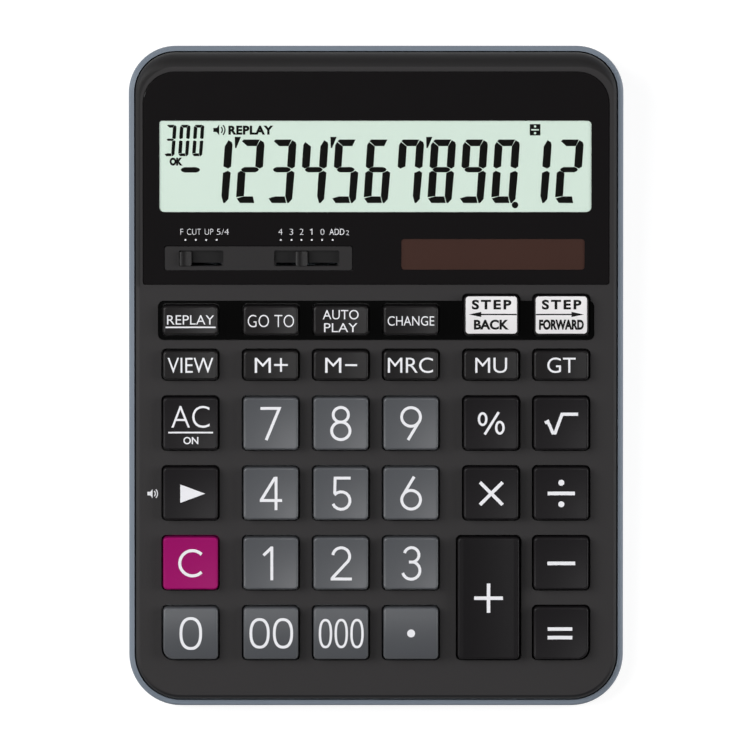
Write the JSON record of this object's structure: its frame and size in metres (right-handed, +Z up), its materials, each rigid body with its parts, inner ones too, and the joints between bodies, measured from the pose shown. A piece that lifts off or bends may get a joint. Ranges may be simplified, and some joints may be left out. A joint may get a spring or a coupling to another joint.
{
  "type": "desk calculator",
  "caption": "Wedge-shaped desk calculator: dished push keys on a silicone dome mat, a tilted display panel, a solar cell and slide switches in a two-part case.",
  "frame": {"origin": "on the desk, under the middle of the case outline", "axes": "+X to the user's right, +Y to the rear with the display, +Z up"},
  "size_m": [0.14, 0.187, 0.0345],
  "materials": {
    "charcoal_case": "fine satin texture",
    "blue_grey_tray": "satin",
    "black_acrylic": "polished",
    "black_inlay": "polished",
    "function_key": "glossy",
    "memory_key": "glossy",
    "black_key": "satin",
    "grey_key": "satin",
    "clear_key": "satin",
    "slider_knob": "satin",
    "silicone": "matt",
    "circuit_board": "satin",
    "display_glass": "polished",
    "solar_glass": "polished",
    "ribbon_film": "glossy",
    "wire": "satin",
    "wiper_leaf": "bare",
    "cell_steel": "bright",
    "contact_steel": "bare",
    "buzzer_brass": "bare",
    "epoxy": "glossy",
    "screw_steel": "zinc plated",
    "foot_rubber": "matt"
  },
  "bodies": {
    "casing": {"upper_case": "charcoal_case", "lower_case": "blue_grey_tray", "display_panel": "black_acrylic", "function_key_bezel": "black_inlay", "key_mat": "silicone", "main_board": "circuit_board", "display_board": "circuit_board", "lcd_cell": "display_glass", "lcd_ribbon": "ribbon_film", "board_ribbon": "ribbon_film", "solar_cell": "solar_glass", "solar_leads": "wire", "button_cell": "cell_steel", "battery_contacts": "contact_steel", "buzzer_disc": "buzzer_brass", "buzzer_leads": "wire", "chip_blob": "epoxy", "case_screws": "screw_steel", "board_screws": "screw_steel", "rubber_feet": "foot_rubber"},
    "key_replay": {"key_replay": "function_key"},
    "key_go_to": {"key_go_to": "function_key"},
    "key_auto_play": {"key_auto_play": "function_key"},
    "key_correct": {"key_correct": "function_key"},
    "key_step_back": {"key_step_back": "function_key"},
    "key_step_forward": {"key_step_forward": "function_key"},
    "key_display": {"key_display": "memory_key"},
    "key_m_plus": {"key_m_plus": "memory_key"},
    "key_m_minus": {"key_m_minus": "memory_key"},
    "key_m_recall": {"key_m_recall": "memory_key"},
    "key_mark_up": {"key_mark_up": "memory_key"},
    "key_grand_total": {"key_grand_total": "memory_key"},
    "key_all_clear": {"key_all_clear": "black_key"},
    "key_7": {"key_7": "grey_key"},
    "key_8": {"key_8": "grey_key"},
    "key_9": {"key_9": "grey_key"},
    "key_percent": {"key_percent": "black_key"},
    "key_root": {"key_root": "black_key"},
    "key_backspace": {"key_backspace": "black_key"},
    "key_4": {"key_4": "grey_key"},
    "key_5": {"key_5": "grey_key"},
    "key_6": {"key_6": "grey_key"},
    "key_times": {"key_times": "black_key"},
    "key_divide": {"key_divide": "black_key"},
    "key_clear": {"key_clear": "clear_key"},
    "key_1": {"key_1": "grey_key"},
    "key_2": {"key_2": "grey_key"},
    "key_3": {"key_3": "grey_key"},
    "key_plus": {"key_plus": "black_key"},
    "key_minus": {"key_minus": "black_key"},
    "key_0": {"key_0": "grey_key"},
    "key_00": {"key_00": "grey_key"},
    "key_000": {"key_000": "grey_key"},
    "key_point": {"key_point": "grey_key"},
    "key_equals": {"key_equals": "black_key"},
    "rounding_switch": {"rounding_slider": "slider_knob", "rounding_wiper": "wiper_leaf"},
    "decimal_switch": {"decimal_slider": "slider_knob", "decimal_wiper": "wiper_leaf"}
  },
  "joints": [
    {"name": "key_replay_press", "type": "slide", "parent": "casing", "child": "key_replay", "axis": [0, 0.0958, -0.9954], "range_m": [0, 0.0018], "stiffness_N_per_m": 400, "springref_m": -0.0005, "deforming": ["key_mat"]},
    {"name": "key_go_to_press", "type": "slide", "parent": "casing", "child": "key_go_to", "axis": [0, 0.0958, -0.9954], "range_m": [0, 0.0018], "stiffness_N_per_m": 400, "springref_m": -0.0005, "deforming": ["key_mat"]},
    {"name": "key_auto_play_press", "type": "slide", "parent": "casing", "child": "key_auto_play", "axis": [0, 0.0958, -0.9954], "range_m": [0, 0.0018], "stiffness_N_per_m": 400, "springref_m": -0.0005, "deforming": ["key_mat"]},
    {"name": "key_correct_press", "type": "slide", "parent": "casing", "child": "key_correct", "axis": [0, 0.0958, -0.9954], "range_m": [0, 0.0018], "stiffness_N_per_m": 400, "springref_m": -0.0005, "deforming": ["key_mat"]},
    {"name": "key_step_back_press", "type": "slide", "parent": "casing", "child": "key_step_back", "axis": [0, 0.0958, -0.9954], "range_m": [0, 0.0018], "stiffness_N_per_m": 400, "springref_m": -0.0005, "deforming": ["key_mat"]},
    {"name": "key_step_forward_press", "type": "slide", "parent": "casing", "child": "key_step_forward", "axis": [0, 0.0958, -0.9954], "range_m": [0, 0.0018], "stiffness_N_per_m": 400, "springref_m": -0.0005, "deforming": ["key_mat"]},
    {"name": "key_display_press", "type": "slide", "parent": "casing", "child": "key_display", "axis": [0, 0.0958, -0.9954], "range_m": [0, 0.0018], "stiffness_N_per_m": 400, "springref_m": -0.0005, "deforming": ["key_mat"]},
    {"name": "key_m_plus_press", "type": "slide", "parent": "casing", "child": "key_m_plus", "axis": [0, 0.0958, -0.9954], "range_m": [0, 0.0018], "stiffness_N_per_m": 400, "springref_m": -0.0005, "deforming": ["key_mat"]},
    {"name": "key_m_minus_press", "type": "slide", "parent": "casing", "child": "key_m_minus", "axis": [0, 0.0958, -0.9954], "range_m": [0, 0.0018], "stiffness_N_per_m": 400, "springref_m": -0.0005, "deforming": ["key_mat"]},
    {"name": "key_m_recall_press", "type": "slide", "parent": "casing", "child": "key_m_recall", "axis": [0, 0.0958, -0.9954], "range_m": [0, 0.0018], "stiffness_N_per_m": 400, "springref_m": -0.0005, "deforming": ["key_mat"]},
    {"name": "key_mark_up_press", "type": "slide", "parent": "casing", "child": "key_mark_up", "axis": [0, 0.0958, -0.9954], "range_m": [0, 0.0018], "stiffness_N_per_m": 400, "springref_m": -0.0005, "deforming": ["key_mat"]},
    {"name": "key_grand_total_press", "type": "slide", "parent": "casing", "child": "key_grand_total", "axis": [0, 0.0958, -0.9954], "range_m": [0, 0.0018], "stiffness_N_per_m": 400, "springref_m": -0.0005, "deforming": ["key_mat"]},
    {"name": "key_all_clear_press", "type": "slide", "parent": "casing", "child": "key_all_clear", "axis": [0, 0.0958, -0.9954], "range_m": [0, 0.0018], "stiffness_N_per_m": 400, "springref_m": -0.0005, "deforming": ["key_mat"]},
    {"name": "key_7_press", "type": "slide", "parent": "casing", "child": "key_7", "axis": [0, 0.0958, -0.9954], "range_m": [0, 0.0018], "stiffness_N_per_m": 400, "springref_m": -0.0005, "deforming": ["key_mat"]},
    {"name": "key_8_press", "type": "slide", "parent": "casing", "child": "key_8", "axis": [0, 0.0958, -0.9954], "range_m": [0, 0.0018], "stiffness_N_per_m": 400, "springref_m": -0.0005, "deforming": ["key_mat"]},
    {"name": "key_9_press", "type": "slide", "parent": "casing", "child": "key_9", "axis": [0, 0.0958, -0.9954], "range_m": [0, 0.0018], "stiffness_N_per_m": 400, "springref_m": -0.0005, "deforming": ["key_mat"]},
    {"name": "key_percent_press", "type": "slide", "parent": "casing", "child": "key_percent", "axis": [0, 0.0958, -0.9954], "range_m": [0, 0.0018], "stiffness_N_per_m": 400, "springref_m": -0.0005, "deforming": ["key_mat"]},
    {"name": "key_root_press", "type": "slide", "parent": "casing", "child": "key_root", "axis": [0, 0.0958, -0.9954], "range_m": [0, 0.0018], "stiffness_N_per_m": 400, "springref_m": -0.0005, "deforming": ["key_mat"]},
    {"name": "key_backspace_press", "type": "slide", "parent": "casing", "child": "key_backspace", "axis": [0, 0.0958, -0.9954], "range_m": [0, 0.0018], "stiffness_N_per_m": 400, "springref_m": -0.0005, "deforming": ["key_mat"]},
    {"name": "key_4_press", "type": "slide", "parent": "casing", "child": "key_4", "axis": [0, 0.0958, -0.9954], "range_m": [0, 0.0018], "stiffness_N_per_m": 400, "springref_m": -0.0005, "deforming": ["key_mat"]},
    {"name": "key_5_press", "type": "slide", "parent": "casing", "child": "key_5", "axis": [0, 0.0958, -0.9954], "range_m": [0, 0.0018], "stiffness_N_per_m": 400, "springref_m": -0.0005, "deforming": ["key_mat"]},
    {"name": "key_6_press", "type": "slide", "parent": "casing", "child": "key_6", "axis": [0, 0.0958, -0.9954], "range_m": [0, 0.0018], "stiffness_N_per_m": 400, "springref_m": -0.0005, "deforming": ["key_mat"]},
    {"name": "key_times_press", "type": "slide", "parent": "casing", "child": "key_times", "axis": [0, 0.0958, -0.9954], "range_m": [0, 0.0018], "stiffness_N_per_m": 400, "springref_m": -0.0005, "deforming": ["key_mat"]},
    {"name": "key_divide_press", "type": "slide", "parent": "casing", "child": "key_divide", "axis": [0, 0.0958, -0.9954], "range_m": [0, 0.0018], "stiffness_N_per_m": 400, "springref_m": -0.0005, "deforming": ["key_mat"]},
    {"name": "key_clear_press", "type": "slide", "parent": "casing", "child": "key_clear", "axis": [0, 0.0958, -0.9954], "range_m": [0, 0.0018], "stiffness_N_per_m": 400, "springref_m": -0.0005, "deforming": ["key_mat"]},
    {"name": "key_1_press", "type": "slide", "parent": "casing", "child": "key_1", "axis": [0, 0.0958, -0.9954], "range_m": [0, 0.0018], "stiffness_N_per_m": 400, "springref_m": -0.0005, "deforming": ["key_mat"]},
    {"name": "key_2_press", "type": "slide", "parent": "casing", "child": "key_2", "axis": [0, 0.0958, -0.9954], "range_m": [0, 0.0018], "stiffness_N_per_m": 400, "springref_m": -0.0005, "deforming": ["key_mat"]},
    {"name": "key_3_press", "type": "slide", "parent": "casing", "child": "key_3", "axis": [0, 0.0958, -0.9954], "range_m": [0, 0.0018], "stiffness_N_per_m": 400, "springref_m": -0.0005, "deforming": ["key_mat"]},
    {"name": "key_plus_press", "type": "slide", "parent": "casing", "child": "key_plus", "axis": [0, 0.0958, -0.9954], "range_m": [0, 0.0018], "stiffness_N_per_m": 400, "springref_m": -0.0005, "deforming": ["key_mat"]},
    {"name": "key_minus_press", "type": "slide", "parent": "casing", "child": "key_minus", "axis": [0, 0.0958, -0.9954], "range_m": [0, 0.0018], "stiffness_N_per_m": 400, "springref_m": -0.0005, "deforming": ["key_mat"]},
    {"name": "key_0_press", "type": "slide", "parent": "casing", "child": "key_0", "axis": [0, 0.0958, -0.9954], "range_m": [0, 0.0018], "stiffness_N_per_m": 400, "springref_m": -0.0005, "deforming": ["key_mat"]},
    {"name": "key_00_press", "type": "slide", "parent": "casing", "child": "key_00", "axis": [0, 0.0958, -0.9954], "range_m": [0, 0.0018], "stiffness_N_per_m": 400, "springref_m": -0.0005, "deforming": ["key_mat"]},
    {"name": "key_000_press", "type": "slide", "parent": "casing", "child": "key_000", "axis": [0, 0.0958, -0.9954], "range_m": [0, 0.0018], "stiffness_N_per_m": 400, "springref_m": -0.0005, "deforming": ["key_mat"]},
    {"name": "key_point_press", "type": "slide", "parent": "casing", "child": "key_point", "axis": [0, 0.0958, -0.9954], "range_m": [0, 0.0018], "stiffness_N_per_m": 400, "springref_m": -0.0005, "deforming": ["key_mat"]},
    {"name": "key_equals_press", "type": "slide", "parent": "casing", "child": "key_equals", "axis": [0, 0.0958, -0.9954], "range_m": [0, 0.0018], "stiffness_N_per_m": 400, "springref_m": -0.0005, "deforming": ["key_mat"]},
    {"name": "rounding_slide", "type": "slide", "parent": "casing", "child": "rounding_switch", "axis": [1, 0, 0], "range_m": [0, 0.00885]},
    {"name": "decimal_slide", "type": "slide", "parent": "casing", "child": "decimal_switch", "axis": [1, 0, 0], "range_m": [-0.0059, 0.00885]}
  ]
}
